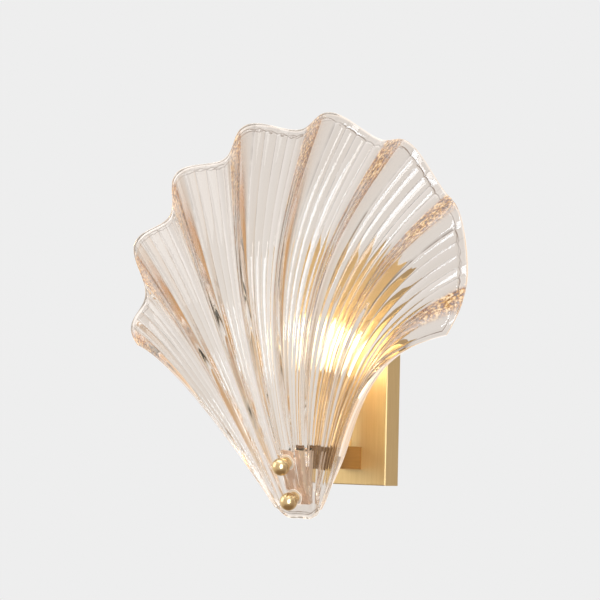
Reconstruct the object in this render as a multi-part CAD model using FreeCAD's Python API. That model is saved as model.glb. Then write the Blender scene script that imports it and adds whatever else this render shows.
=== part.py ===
import FreeCAD, Part
import math
import os
from FreeCAD import Placement, Rotation, Vector

# Shell wall sconce: a pressed glass scallop held by two ball nuts on a brass arm and canopy.
# Millimetres. +X is to the viewer's right, the front faces -Y, +Z is up.
# The origin is the middle of the canopy's back, on the wall.

# Canopy, the plate on the wall
canopy_width = 58.0
canopy_height = 177.0
canopy_depth = 18.0
canopy_wall = 1.5
canopy_chamfer = 0.6

# Wall bracket, the steel strap behind the canopy
strap_width = 30.0
strap_thickness = 1.5
strap_bend = 1.5
strap_gap = 0.4
lug_depth = 12.0
wall_screw_spacing = 100.0
wall_slot_radius = 2.25
wall_slot_length = 10.0
cable_hole_radius = 10.0
cover_screw_radius = 2.0
cover_screw_length = 6.0
cover_screw_sink = 0.3
driver_slot_depth = 1.0
earth_screw_radius = 1.95
earth_head_radius = 4.2
earth_head_height = 2.6
earth_at = Vector(-9, -strap_thickness, -30)

# Terminal block on the strap
terminal_width = 24.0
terminal_low = 16.0
terminal_high = 33.0
terminal_depth = 11.0
terminal_pitch = 11.0
terminal_wire_depth = 5.5
terminal_wire_hole = 1.0
terminal_chamfer = 1.0
terminal_well_radius = 2.2
terminal_well_depth = 3.0
terminal_screw_radius = 1.2
terminal_head_radius = 1.9
terminal_head_height = 1.6
terminal_thread = 1.5

# Arm, a square brass tube from the canopy to the shell
arm_width = 16.0
arm_height = 16.4
arm_wall = 2.0
arm_drop = 68.8
arm_plug_length = 12.0
arm_nipple_radius = 4.0
arm_nipple_bore = 2.75
arm_nipple_embed = 10.0
arm_nipple_reach = 7.0
nut_flats = 12.0
nut_height = 3.5
tag_radius = 8.0
tag_width = 5.0
tag_reach = 15.0
tag_thickness = 0.8

# Lamp holder standing on the arm
socket_reach = 44.4
sleeve_radius = 13.5
sleeve_wall = 0.8
sleeve_base = 1.5
sleeve_height = 53.0
socket_nipple_radius = 5.0
socket_nipple_bore = 3.5
socket_nipple_reach = 11.0
socket_nut_flats = 14.0
socket_nut_height = 3.0
holder_radius = 12.2
holder_edge = 1.5
holder_drop = 4.4
holder_cavity_radius = 8.4
holder_cavity_depth = 25.0
holder_chamber_radius = 9.0
holder_floor_thickness = 2.0
contact_hole_radius = 2.0
contact_rivet_radius = 3.2
contact_button_radius = 3.6
contact_button_edge = 0.5
contact_tip_radius = 2.0
contact_height = 1.6
cup_radius = 8.0
cup_bore = 7.3
cup_floor = 0.6
cup_hole = 4.5
cup_drop = 7.0

# Candle bulb with a small screw cap
bulb_button_radius = 2.5
bulb_button_height = 0.8
bulb_insulator_radius = 5.4
bulb_insulator_height = 3.2
bulb_cap_radius = 6.8
bulb_cap_wall = 0.5
bulb_cap_shoulder = 2.0
bulb_neck_embed = 4.0
bulb_neck_height = 6.0
bulb_radius = 17.5
bulb_glass_height = 71.0
bulb_belly_height = 25.0
bulb_tip_radius = 3.0
bulb_glass_wall = 0.8
stem_embed = 3.0
stem_height = 16.0
stem_radius = 1.8
filament_count = 4
filament_length = 26.0
filament_radius = 0.8
filament_ring = 4.2
filament_wire_radius = 0.3
filament_post_radius = 0.4

# Shell. Its mean surface is an elliptical arc that grows and tilts from the tip to the rim.
# Each measure of that arc is a cubic along the shell with these four values, tip to rim.
shell_half_widths = (13.2, 47.0, 63.6, 145.1)
shell_centre_heights = (-112.7, -51.0, 14.9, 55.2)
shell_crown_heights = (6.2, 81.8, 57.6, 116.9)
shell_side_reaches = (85.9, 100.1, 144.0, 105.9)
shell_crown_bulges = (0.8, 50.6, -7.8, -0.8)
wave_heights = (0.0, 2.3, 6.8, 8.5)
reed_heights = (0.0, 0.3, 0.9, 0.9)
glass_thickness = 6.0

# Places across the shell are in turns: one turn from ridge to ridge, 0 in the middle valley
ridge_count = 8
ridge_pitch = math.radians(29.22)
outer_spread = 0.0455
spread_from = 2.0
edge_turn = 3.62
valley_reach = 0.4
reeds_per_valley = 8
rim_scallop = 0.0292
rim_corner = 0.0099
corner_from = math.radians(102.6)
rim_bevel = 1.2
tip_start = -0.015
tip_side_rise = 0.0814
tip_side_power = 2.3

# Pad at the shell's tip, where the ball nuts clamp the glass to the bracket
pad_station = 0.053
stud_spacing = 26.0
stud_radius = 2.0
stud_chamfer = 0.4
stud_embed = 5.5
stud_reach = 8.5
running_gap = 0.05
clearance = 0.2
glass_hole_radius = 3.5
seat_depth = 0.6
seat_radius = 6.0
pocket_depth = 6.2
pocket_gap = 0.4
gasket_thickness = 1.0
bush_flange = 0.8
bush_gap = 0.4
tab_height = 40.0
tab_bottom_thickness = 5.5
tab_top_thickness = 16.0
ball_radius = 6.25
ball_neck_radius = 4.0
ball_lift = 8.0

# Wiring
lead_radius = 0.9
lead_bend = 5.0
lead_spread = 1.1
lead_depth = 6.0
lead_gather = 45.0
lead_embed = 7.0
lead_straight = 12.0
lead_end_gap = 5.0
earth_lead_straight = 9.0
earth_lead_overlap = 3.0

plain = (0.0, 0.0, 0.0, 0.0)
small_step = 1e-4


# ---- Shell surface ----

def wave(turn):
    # 1 on a ridge, -1 in the middle of a valley
    return -math.cos(2 * math.pi * turn)


def turn_angle(turn):
    # the outer ridges stand a little further apart than the inner ones
    return ridge_pitch * turn + math.copysign(outer_spread * max(0, abs(turn) - spread_from) ** 2, turn)


def first_station(turn):
    # the tip ends in a rounded U: lowest in the middle, rising to its sides
    side = (1 - math.cos(turn_angle(turn))) / (1 - math.cos(turn_angle(edge_turn)))
    return tip_start + tip_side_rise * side ** tip_side_power


def last_station(turn):
    # the rim is scalloped: ridges reach further than valleys, and its two ends are rounded off
    corner = max(0, abs(turn_angle(turn)) - corner_from) / (turn_angle(edge_turn) - corner_from)
    return 1 - rim_scallop * (1 - wave(turn)) / 2 - rim_corner * corner ** 2


def polar(poles, a, b, c):
    # polar value of a cubic, which gives its points and the poles of its stretches
    first = [p + (q - p) * a for p, q in zip(poles, poles[1:])]
    second = [p + (q - p) * b for p, q in zip(first, first[1:])]
    return second[0] + (second[1] - second[0]) * c


def mean_poles(turn):
    sine, cosine = math.sin(turn_angle(turn)), math.cos(turn_angle(turn))
    poles = []
    for k in range(4):
        x = shell_half_widths[k] * sine
        y = -shell_side_reaches[k] - shell_crown_bulges[k] * cosine
        z = shell_centre_heights[k] + shell_crown_heights[k] * cosine
        poles.append(Vector(x, y, z))
    return poles


def mean_point(turn, station):
    return polar(mean_poles(turn), station, station, station)


def mean_normal(turn, station):
    # out of the shell, towards the viewer
    along = mean_point(turn, station + small_step) - mean_point(turn, station - small_step)
    across = mean_point(turn + small_step, station) - mean_point(turn - small_step, station)
    return across.cross(along).normalize()


def wall_poles(turn):
    # the glass thickness as a cubic through the normals at four even stations
    a, b, c, d = [mean_normal(turn, k / 3) * glass_thickness for k in range(4)]
    near_tip = (b * 18 - a * 5 - c * 9 + d * 2) * (1 / 6)
    near_rim = (c * 18 - b * 9 - d * 5 + a * 2) * (1 / 6)
    return [a, near_tip, near_rim, d]


def meridian(turn, back):
    # poles of the line that runs up the shell from tip to rim at this turn
    poles = [p - Vector(0, h * wave(turn), 0) for p, h in zip(mean_poles(turn), wave_heights)]
    if back:
        poles = [p - w for p, w in zip(poles, wall_poles(turn))]
    a, b = first_station(turn), last_station(turn)
    return [polar(poles, a, a, a), polar(poles, a, a, b), polar(poles, a, b, b), polar(poles, b, b, b)]


def across_step(turn, back, width):
    before, after = meridian(turn - small_step, back), meridian(turn + small_step, back)
    return [(q - p) * (width / (2 * small_step)) for p, q in zip(before, after)]


def strip(start, end, back, crown):
    # four meridians that span a strip of glass; crown lifts its middle towards the viewer
    third = (end - start) / 3
    first, last = meridian(start, back), meridian(end, back)
    leave, arrive = across_step(start, back, third), across_step(end, back, third)
    lift = [Vector(0, -h * 4 / 3, 0) for h in crown]
    second = [p + s + r for p, s, r in zip(first, leave, lift)]
    fourth = [p - s + r for p, s, r in zip(last, arrive, lift)]
    return [first, second, fourth, last]


def patch(rows):
    surface = Part.BezierSurface()
    surface.increase(len(rows) - 1, len(rows[0]) - 1)
    for i, row in enumerate(rows, 1):
        for j, pole in enumerate(row, 1):
            surface.setPole(i, j, pole)
    return surface.toShape()


def side_push(turn, index):
    before, after = meridian(turn - small_step, False), meridian(turn + small_step, False)
    return (after[index] - before[index]).normalize() * math.copysign(1, turn)


def end_push(turn, index):
    # away from the glass at the tip (index 0) or at the rim (index 3)
    line = meridian(turn, False)
    inner = 1 if index == 0 else 2
    push = (line[index] - line[inner]).normalize()
    if abs(turn) > edge_turn - small_step:
        push = (push + side_push(turn, index)).normalize()
    return push


def bevelled_edge(front, back, pushes):
    # two faces that meet in a ridge line along the middle of the glass edge
    middle = [(f + b) * 0.5 + p * rim_bevel for f, b, p in zip(front, back, pushes)]
    return [patch([front, middle]), patch([middle, back])]


def glass_strips():
    # start, end and crown of every strip: the two sides of each ridge and the reeds between ridges
    reed = 2 * valley_reach / reeds_per_valley
    outer_ridge = (ridge_count - 1) / 2
    strips = [(-edge_turn, -outer_ridge, plain)]
    for k in range(ridge_count - 1):
        crest = k - outer_ridge
        start = crest + 0.5 - valley_reach
        strips.append((crest, start, plain))
        strips += [(start + r * reed, start + (r + 1) * reed, reed_heights) for r in range(reeds_per_valley)]
        strips.append((crest + 0.5 + valley_reach, crest + 1, plain))
    strips.append((outer_ridge, edge_turn, plain))
    return strips


def glass_body():
    faces = []
    for start, end, crown in glass_strips():
        front, back = strip(start, end, False, crown), strip(start, end, True, plain)
        faces += [patch(front), patch(back)]
        for index in (0, 3):
            p, q = end_push(start, index), end_push(end, index)
            pushes = [p, (p * 2 + q) * (1 / 3), (p + q * 2) * (1 / 3), q]
            faces += bevelled_edge([row[index] for row in front], [row[index] for row in back], pushes)
    for turn in (-edge_turn, edge_turn):
        pushes = [end_push(turn, 0), side_push(turn, 1), side_push(turn, 2), end_push(turn, 3)]
        faces += bevelled_edge(meridian(turn, False), meridian(turn, True), pushes)
    shell = Part.makeShell(faces)
    shell.sewShape()
    return Part.makeSolid(shell)


# ---- Frames and small helpers ----

def pad_placement():
    # x across the shell, y up its face, z out of the glass along the studs
    up = mean_point(0, pad_station + small_step) - mean_point(0, pad_station - small_step)
    lean = math.degrees(math.atan2(-up.y, up.z))
    return Placement(mean_point(0, pad_station), Rotation(Vector(1, 0, 0), 90 + lean))


pad = pad_placement()
stud_heights = (-stud_spacing / 2, stud_spacing / 2)


def on_pad(shape):
    placed = shape.copy()
    placed.Placement = pad
    return placed


def rod(radius, start, end, at=Vector(0, 0, 0), axis=Vector(0, 0, 1)):
    return Part.makeCylinder(radius, end - start, at + axis * start, axis)


def block(width, x, y, z):
    # a box centred on x, between the given y and z limits
    return Part.makeBox(width, y[1] - y[0], z[1] - z[0], Vector(x - width / 2, y[0], z[0]))


def turned(profile, at=Vector(0, 0, 0)):
    # a solid of revolution about the vertical line through a point, from (radius, height) corners
    points = [Vector(r, 0, z) + at for r, z in profile]
    face = Part.Face(Part.makePolygon(points + points[:1]))
    return face.revolve(at, Vector(0, 0, 1), 360)


def hexagon(flats, height, hole):
    corner = flats / math.sqrt(3)
    points = [Vector(corner * math.cos(math.radians(a)), corner * math.sin(math.radians(a)), 0)
              for a in range(0, 420, 60)]
    prism = Part.Face(Part.makePolygon(points)).extrude(Vector(0, 0, height))
    return prism.cut(rod(hole, 0, height))


def moved(shape, at, axis=Vector(0, 0, 1)):
    placed = shape.copy()
    placed.Placement = Placement(at, Rotation(Vector(0, 0, 1), axis))
    return placed


# ---- Shell and its clamp ----

def glass_shade():
    holes = []
    for y in stud_heights:
        at = Vector(0, y, 0)
        holes.append(rod(glass_hole_radius, -15, 10, at))
        holes.append(rod(seat_radius, -seat_depth, 10, at))
    half_width, half_height = arm_width / 2 + pocket_gap, tab_height / 2 + pocket_gap
    pocket = Part.makeBox(2 * half_width, 2 * half_height, 20,
                          Vector(-half_width, -half_height, -pocket_depth - 20))
    return glass_body().cut([on_pad(cut) for cut in holes + [pocket]])


def shade_bushes():
    # a flanged sleeve in each glass hole keeps the brass off the glass
    bushes = []
    for y in stud_heights:
        at = Vector(0, y, 0)
        flange = rod(seat_radius - bush_gap, -seat_depth, bush_flange - seat_depth, at)
        sleeve = rod(glass_hole_radius - bush_gap, bush_gap - pocket_depth, -seat_depth, at)
        bore = rod(stud_radius + clearance, -pocket_depth, bush_flange, at)
        bushes.append(on_pad(flange.fuse(sleeve).removeSplitter().cut(bore)))
    return Part.makeCompound(bushes)


def bracket_gasket():
    plate = Part.makeBox(arm_width, tab_height, gasket_thickness,
                         Vector(-arm_width / 2, -tab_height / 2, -pocket_depth - gasket_thickness))
    for y in stud_heights:
        plate = plate.cut(rod(stud_radius + clearance, -15, 0, Vector(0, y, 0)))
    return on_pad(plate)


def tab_corner(y):
    # a point of the bracket's front face, in the part's frame
    return pad.multVec(Vector(0, y, -pocket_depth - gasket_thickness))


def bracket_blank():
    # a wedge: the front leans with the glass and the back stands nearly upright
    bottom, top = tab_corner(-tab_height / 2), tab_corner(tab_height / 2)
    side = [bottom, top, top + Vector(0, tab_top_thickness, 0), bottom + Vector(0, tab_bottom_thickness, 0)]
    face = Part.Face(Part.makePolygon(side + side[:1]))
    face.translate(Vector(-arm_width / 2, 0, 0))
    return face.extrude(Vector(arm_width, 0, 0))


def shade_bracket():
    front = -pocket_depth - gasket_thickness
    holes = [on_pad(rod(stud_radius + running_gap, front - stud_embed, front, Vector(0, y, 0)))
             for y in stud_heights]
    return bracket_blank().cut(holes)


def shade_studs():
    root = -pocket_depth - gasket_thickness - stud_embed
    studs = []
    for y in stud_heights:
        stud = rod(stud_radius, root, stud_reach, Vector(0, y, 0))
        studs.append(on_pad(stud.makeChamfer(stud_chamfer, [stud.Edges[0], stud.Edges[2]])))
    return Part.makeCompound(studs)


def ball_nut(y):
    # a polished ball on a short neck, with a blind bore for the stud
    at = Vector(0, y, 0)
    seat = bush_flange - seat_depth
    ball = Part.makeSphere(ball_radius, at + Vector(0, 0, ball_lift))
    neck = rod(ball_neck_radius, seat, ball_lift, at)
    bore = rod(stud_radius + running_gap, seat, stud_reach + 1, at)
    return on_pad(ball.fuse(neck).cut(bore))


# ---- Arm ----

arm_axis = Vector(0, 0, -arm_drop)
arm_bottom = -arm_drop - arm_height / 2
arm_top = -arm_drop + arm_height / 2


def arm_tube():
    tip = tab_corner(0).y + tab_bottom_thickness
    bar = block(arm_width, 0, (tip, -canopy_depth), (arm_bottom, arm_top))
    bore = block(arm_width - 2 * arm_wall, 0, (tip - 1, -canopy_depth + 1),
                 (arm_bottom + arm_wall, arm_top - arm_wall))
    socket_hole = rod(socket_nipple_radius + running_gap, arm_top - arm_wall - 1, arm_top + 1,
                      Vector(0, -socket_reach, 0))
    return bar.cut([bore, socket_hole, bracket_blank()])


def arm_end_block():
    # solid end of the tube, tapped for the nipple that ties the arm to the canopy
    plug = block(arm_width - 2 * arm_wall, 0, (-canopy_depth - arm_plug_length, -canopy_depth),
                 (arm_bottom + arm_wall, arm_top - arm_wall))
    return plug.cut(rod(arm_nipple_radius, -40, 0, arm_axis, Vector(0, 1, 0)))


def arm_nipple():
    start, end = -canopy_depth - arm_nipple_embed, -canopy_depth + arm_nipple_reach
    tube = rod(arm_nipple_radius, start, end, arm_axis, Vector(0, 1, 0))
    return tube.cut(rod(arm_nipple_bore, start, end, arm_axis, Vector(0, 1, 0)))


def earth_tag():
    # a ring under the arm nut with a tab for the earth lead
    y = -canopy_depth + canopy_wall
    ring = rod(tag_radius, y, y + tag_thickness, arm_axis, Vector(0, 1, 0))
    tab = block(tag_width, 0, (y, y + tag_thickness), (-arm_drop, -arm_drop + tag_reach))
    hole = rod(arm_nipple_radius + running_gap, y - 1, y + 2, arm_axis, Vector(0, 1, 0))
    return ring.fuse(tab).removeSplitter().cut(hole)


def arm_nut():
    at = arm_axis + Vector(0, -canopy_depth + canopy_wall + tag_thickness, 0)
    return moved(hexagon(nut_flats, nut_height, arm_nipple_radius), at, Vector(0, 1, 0))


# ---- Canopy and wall bracket ----

def canopy_cover():
    half = canopy_height / 2
    tray = block(canopy_width, 0, (-canopy_depth, 0), (-half, half))
    front = [e for e in tray.Edges if abs(e.BoundBox.YMax + canopy_depth) < small_step]
    tray = tray.makeChamfer(canopy_chamfer, front)
    inside = block(canopy_width - 2 * canopy_wall, 0, (canopy_wall - canopy_depth, 1),
                   (canopy_wall - half, half - canopy_wall))
    arm_hole = rod(arm_nipple_radius + clearance, -canopy_depth - 1, 0, arm_axis, Vector(0, 1, 0))
    at = Vector(0, -lug_depth / 2, 0)
    screw_holes = rod(cover_screw_radius, -half - 1, half + 1, at)
    return tray.cut([inside, arm_hole, screw_holes])


def slot(z):
    offset = wall_slot_length / 2 - wall_slot_radius
    ends = [rod(wall_slot_radius, -5, 5, Vector(0, 0, z + d), Vector(0, 1, 0)) for d in (-offset, offset)]
    middle = block(2 * wall_slot_radius, 0, (-5, 5), (z - offset, z + offset))
    return ends[0].fuse([ends[1], middle]).removeSplitter()


lug_height = canopy_height / 2 - canopy_wall - strap_gap


def wall_bracket():
    # a strap with both ends bent forward, slots for the wall screws and a hole for the supply
    strap = block(strap_width, 0, (-strap_thickness, 0), (-lug_height, lug_height))
    lugs = [block(strap_width, 0, (-lug_depth, 0), limits)
            for limits in ((-lug_height, strap_thickness - lug_height),
                           (lug_height - strap_thickness, lug_height))]
    shape = strap.fuse(lugs).removeSplitter()
    bends = [e for e in shape.Edges
             if abs(e.BoundBox.YMin + strap_thickness) < small_step and e.BoundBox.XLength > strap_width - 1
             and abs(abs(e.BoundBox.ZMax) - lug_height + strap_thickness) < small_step]
    shape = shape.makeFillet(strap_bend, bends)
    cuts = [slot(-wall_screw_spacing / 2), slot(wall_screw_spacing / 2),
            rod(cable_hole_radius, -5, 5, Vector(0, 0, 0), Vector(0, 1, 0)),
            rod(earth_screw_radius, -5, 5, earth_at, Vector(0, 1, 0)),
            rod(cover_screw_radius, -lug_height - 1, lug_height + 1, Vector(0, -lug_depth / 2, 0))]
    return shape.cut(cuts)


def screw(radius, length, head_radius, head_height, at, axis):
    # a pan head screw whose head seats on the given point, with a driver slot
    head = rod(head_radius, 0, head_height)
    head = head.makeFillet(head_height * 0.4, [head.Edges[0]])
    slot_width = head_radius * 0.3
    groove = Part.makeBox(head_radius * 3, slot_width, head_height,
                          Vector(-head_radius * 1.5, -slot_width / 2, head_height * 0.55))
    return moved(head.cut(groove).fuse(rod(radius, -length, 0)).removeSplitter(), at, axis)


def cover_screws():
    # headless slotted screws, through the canopy's top and bottom into the lugs
    slot_width = cover_screw_radius * 0.4
    body = rod(cover_screw_radius, -cover_screw_length, 0)
    body = body.makeChamfer(stud_chamfer, [body.Edges[2]])
    groove = Part.makeBox(cover_screw_radius * 3, slot_width, driver_slot_depth,
                          Vector(-cover_screw_radius * 1.5, -slot_width / 2, -driver_slot_depth))
    reach = canopy_height / 2 - cover_screw_sink
    return Part.makeCompound([
        moved(body.cut(groove), Vector(0, -lug_depth / 2, side * reach), Vector(0, 0, side))
        for side in (-1, 1)])


def earth_screw():
    return screw(earth_screw_radius, strap_thickness, earth_head_radius, earth_head_height,
                 earth_at, Vector(0, -1, 0))


terminal_front = -strap_thickness - terminal_depth
terminal_middle = (terminal_low + terminal_high) / 2
terminal_sides = (-terminal_pitch / 2, terminal_pitch / 2)


def terminal_block():
    body = block(terminal_width, 0, (terminal_front, -strap_thickness), (terminal_low, terminal_high))
    front = [e for e in body.Edges if abs(e.BoundBox.YMax - terminal_front) < small_step]
    body = body.makeChamfer(terminal_chamfer, front)
    cuts = []
    for x in terminal_sides:
        at = Vector(x, terminal_front, terminal_middle)
        cuts.append(rod(terminal_wire_hole, terminal_low - 1, terminal_high + 1,
                        Vector(x, terminal_front + terminal_wire_depth, 0)))
        cuts.append(rod(terminal_well_radius, -1, terminal_well_depth, at, Vector(0, 1, 0)))
        cuts.append(rod(terminal_screw_radius, 0, terminal_wire_depth, at, Vector(0, 1, 0)))
    return body.cut(cuts)


def terminal_screws():
    return Part.makeCompound([
        screw(terminal_screw_radius, terminal_thread, terminal_head_radius, terminal_head_height,
              Vector(x, terminal_front + terminal_well_depth, terminal_middle), Vector(0, -1, 0))
        for x in terminal_sides])


# ---- Lamp holder ----

socket_at = Vector(0, -socket_reach, 0)
sleeve_floor = arm_top + sleeve_base
sleeve_top = arm_top + sleeve_height
holder_top = sleeve_top - holder_drop
holder_floor = holder_top - holder_cavity_depth
rivet_low = holder_floor - holder_floor_thickness


def socket_sleeve():
    inner = sleeve_radius - sleeve_wall
    hole = socket_nipple_radius + running_gap
    return turned([(hole, arm_top), (sleeve_radius, arm_top), (sleeve_radius, sleeve_top),
                   (inner, sleeve_top), (inner, sleeve_floor), (hole, sleeve_floor)], socket_at)


def socket_nipple():
    low, high = arm_top - arm_wall, sleeve_floor + socket_nipple_reach
    return turned([(socket_nipple_bore, low), (socket_nipple_radius, low),
                   (socket_nipple_radius, high), (socket_nipple_bore, high)], socket_at)


def nipple_nut():
    nut = hexagon(socket_nut_flats, socket_nut_height, socket_nipple_radius)
    return moved(nut, socket_at + Vector(0, 0, sleeve_floor))


def lamp_holder():
    # moulded body: a neck on the nipple, a wiring chamber, a floor and the cap's cavity
    hole = socket_nipple_radius + running_gap
    low, neck = sleeve_floor + socket_nut_height, sleeve_floor + socket_nipple_reach
    return turned([(hole, low), (holder_radius - holder_edge, low), (holder_radius, low + holder_edge),
                   (holder_radius, holder_top), (holder_cavity_radius, holder_top),
                   (holder_cavity_radius, holder_floor), (contact_hole_radius, holder_floor),
                   (contact_hole_radius, rivet_low), (holder_chamber_radius, rivet_low),
                   (holder_chamber_radius, neck), (hole, neck)], socket_at)


def holder_shell():
    # thin brass cup that takes the bulb's thread
    high = sleeve_top - cup_drop
    return turned([(cup_hole, holder_floor), (cup_radius, holder_floor), (cup_radius, high), (cup_bore, high),
                   (cup_bore, holder_floor + cup_floor), (cup_hole, holder_floor + cup_floor)], socket_at)


bulb_base = holder_floor + contact_height


def holder_contact():
    # rivet through the floor with a sprung button under the bulb
    shank = contact_hole_radius - 0.1
    return turned([(0, rivet_low - 1), (contact_rivet_radius, rivet_low - 1), (contact_rivet_radius, rivet_low),
                   (shank, rivet_low), (shank, holder_floor), (contact_button_radius, holder_floor),
                   (contact_button_radius, holder_floor + contact_button_edge),
                   (contact_tip_radius, bulb_base), (0, bulb_base)], socket_at)


# ---- Bulb ----

insulator_low = bulb_base + bulb_button_height
cap_low = insulator_low + bulb_insulator_height
cap_high = sleeve_top - 1.0


def bulb_contact():
    return turned([(0, bulb_base), (contact_tip_radius, bulb_base), (bulb_button_radius, insulator_low),
                   (0, insulator_low)], socket_at)


def bulb_insulator():
    return turned([(0, insulator_low), (bulb_button_radius, insulator_low), (bulb_insulator_radius, cap_low),
                   (0, cap_low)], socket_at)


def bulb_cap():
    # a thin cup with a sloping shoulder under its straight side
    inner, floor = bulb_cap_radius - bulb_cap_wall, cap_low + bulb_cap_wall
    shoulder = cap_low + bulb_cap_shoulder
    return turned([(0, cap_low), (bulb_insulator_radius, cap_low), (bulb_cap_radius, shoulder),
                   (bulb_cap_radius, cap_high), (inner, cap_high), (inner, shoulder + 0.2),
                   (bulb_insulator_radius - 0.4, floor), (0, floor)], socket_at)


def candle(inset):
    # the envelope's outside, or its inside by the glass wall: two balls on the axis with
    # tangent cones from the neck to the belly and from the belly to the tip
    neck, belly, tip = bulb_cap_radius - bulb_cap_wall - inset, bulb_radius - inset, bulb_tip_radius - inset
    foot = cap_high - bulb_neck_embed
    belly_at = foot + bulb_belly_height
    tip_at = foot + bulb_glass_height - bulb_tip_radius
    waist = foot + bulb_neck_height
    sight = math.hypot(neck, belly_at - waist)
    low = math.acos(belly / sight) - math.atan2(belly_at - waist, neck)
    high = math.asin((belly - tip) / (tip_at - belly_at))

    def on_ball(radius, centre, angle):
        return Vector(radius * math.cos(angle), 0, centre + radius * math.sin(angle))

    a, b, c = [on_ball(belly, belly_at, angle) for angle in (low, (low + high) / 2, high)]
    d, e, f = [on_ball(tip, tip_at, angle) for angle in (high, (high + math.pi / 2) / 2, math.pi / 2)]
    f.x = 0
    corners = [Vector(0, 0, foot), Vector(neck, 0, foot), Vector(neck, 0, waist), a]
    edges = [Part.makeLine(p, q) for p, q in zip(corners, corners[1:])]
    edges += [Part.Arc(a, b, c).toShape(), Part.makeLine(c, d), Part.Arc(d, e, f).toShape(),
              Part.makeLine(f, corners[0])]
    solid = Part.Face(Part.Wire(edges)).revolve(Vector(0, 0, 0), Vector(0, 0, 1), 360)
    solid.translate(socket_at)
    return solid


def bulb_glass():
    return candle(0).cut(candle(bulb_glass_wall))


stem_low = cap_high - stem_embed
stem_top = stem_low + stem_height
filament_low = stem_top + 1.0
filament_top = filament_low + filament_length


def bulb_stem():
    # flared glass mount that closes the envelope's neck
    flare = bulb_cap_radius - bulb_cap_wall - bulb_glass_wall
    knee, waist = stem_low + stem_height * 0.3, stem_low + stem_height * 0.7
    return turned([(0, stem_low), (flare, stem_low), (flare, stem_low + bulb_glass_wall),
                   (stem_radius * 1.6, knee), (stem_radius, waist), (stem_radius, stem_top), (0, stem_top)],
                  socket_at)


def bulb_filaments():
    # light sticks between two wire stars, on a central post
    post = rod(filament_post_radius, stem_top, filament_top + 1, socket_at)
    pieces = []
    for k in range(filament_count):
        turn = math.radians(45 + k * 360 / filament_count)
        out = Vector(math.cos(turn), math.sin(turn), 0)
        pieces.append(rod(filament_radius, filament_low, filament_top, socket_at + out * filament_ring))
        for z in (filament_low, filament_top):
            pieces.append(rod(filament_wire_radius, 0, filament_ring, socket_at + Vector(0, 0, z), out))
    return post.fuse(pieces)


# ---- Leads ----

def lead(name, points):
    # a tube along straight runs that are joined by arcs of one bend radius
    edges, start = [], points[0]
    for corner, after in zip(points[1:-1], points[2:]):
        into, out = (corner - start).normalize(), (after - corner).normalize()
        turn = into.getAngle(out)
        reach = lead_bend * math.tan(turn / 2)
        begin, end = corner - into * reach, corner + out * reach
        toward = (out - into).normalize()
        middle = corner + toward * (lead_bend / math.cos(turn / 2) - lead_bend)
        edges += [Part.makeLine(start, begin), Part.Arc(begin, middle, end).toShape()]
        start = end
    edges.append(Part.makeLine(start, points[-1]))
    path = Part.Wire(edges)
    volume = math.pi * lead_radius ** 2 * path.Length
    ring = Part.Wire(Part.makeCircle(lead_radius, points[0], (points[1] - points[0]).normalize()))
    tube = path.makePipeShell([ring], True, False)
    print(name, "length", round(path.Length, 1), "volume ratio", round(tube.Volume / volume, 4))
    return tube


def supply_lead(name, side):
    # terminal block, down the canopy, through the arm and up into the lamp holder
    x, low = side * lead_spread, -arm_drop
    return lead(name, [
        Vector(side * terminal_pitch / 2, terminal_front + terminal_wire_depth, terminal_low + lead_embed),
        Vector(side * terminal_pitch / 2, terminal_front + terminal_wire_depth, terminal_low - lead_straight),
        Vector(x, -lead_depth, -lead_gather),
        Vector(x, -lead_depth, low),
        Vector(x, -socket_reach, low),
        Vector(x, -socket_reach, holder_floor - lead_end_gap)])


def earth_lead():
    tag = Vector(0, -canopy_depth + canopy_wall + tag_thickness + lead_radius,
                 -arm_drop + tag_reach - earth_lead_overlap)
    start = earth_at + Vector(0, -earth_head_height / 2, -earth_head_radius)
    straight = Vector(0, 0, earth_lead_straight)
    return lead("earth_lead", [start, start - straight, tag + straight, tag])


# ---- Build ----

parts = {
    "glass_shade": glass_shade(),
    "shade_bushes": shade_bushes(),
    "bracket_gasket": bracket_gasket(),
    "shade_bracket": shade_bracket(),
    "shade_studs": shade_studs(),
    "upper_ball_nut": ball_nut(stud_heights[1]),
    "lower_ball_nut": ball_nut(stud_heights[0]),
    "arm_tube": arm_tube(),
    "arm_end_block": arm_end_block(),
    "arm_nipple": arm_nipple(),
    "arm_nut": arm_nut(),
    "earth_tag": earth_tag(),
    "canopy_cover": canopy_cover(),
    "wall_bracket": wall_bracket(),
    "cover_screws": cover_screws(),
    "earth_screw": earth_screw(),
    "terminal_block": terminal_block(),
    "terminal_screws": terminal_screws(),
    "socket_sleeve": socket_sleeve(),
    "socket_nipple": socket_nipple(),
    "nipple_nut": nipple_nut(),
    "lamp_holder": lamp_holder(),
    "holder_shell": holder_shell(),
    "holder_contact": holder_contact(),
    "bulb_contact": bulb_contact(),
    "bulb_insulator": bulb_insulator(),
    "bulb_cap": bulb_cap(),
    "bulb_glass": bulb_glass(),
    "bulb_stem": bulb_stem(),
    "bulb_filaments": bulb_filaments(),
    "live_lead": supply_lead("live_lead", 1),
    "neutral_lead": supply_lead("neutral_lead", -1),
    "earth_lead": earth_lead(),
}

os.makedirs("parts", exist_ok=True)
for name, shape in parts.items():
    box = shape.BoundBox
    print(f"{name:16s} solids {len(shape.Solids)} valid {shape.isValid()} volume {shape.Volume:9.1f}"
          f" y {box.YMin:7.1f} {box.YMax:6.1f} z {box.ZMin:7.1f} {box.ZMax:6.1f}")
    shape.exportStep(f"parts/{name}.step")
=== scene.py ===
import bpy
import bmesh
import math
from mathutils import Matrix, Vector


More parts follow.
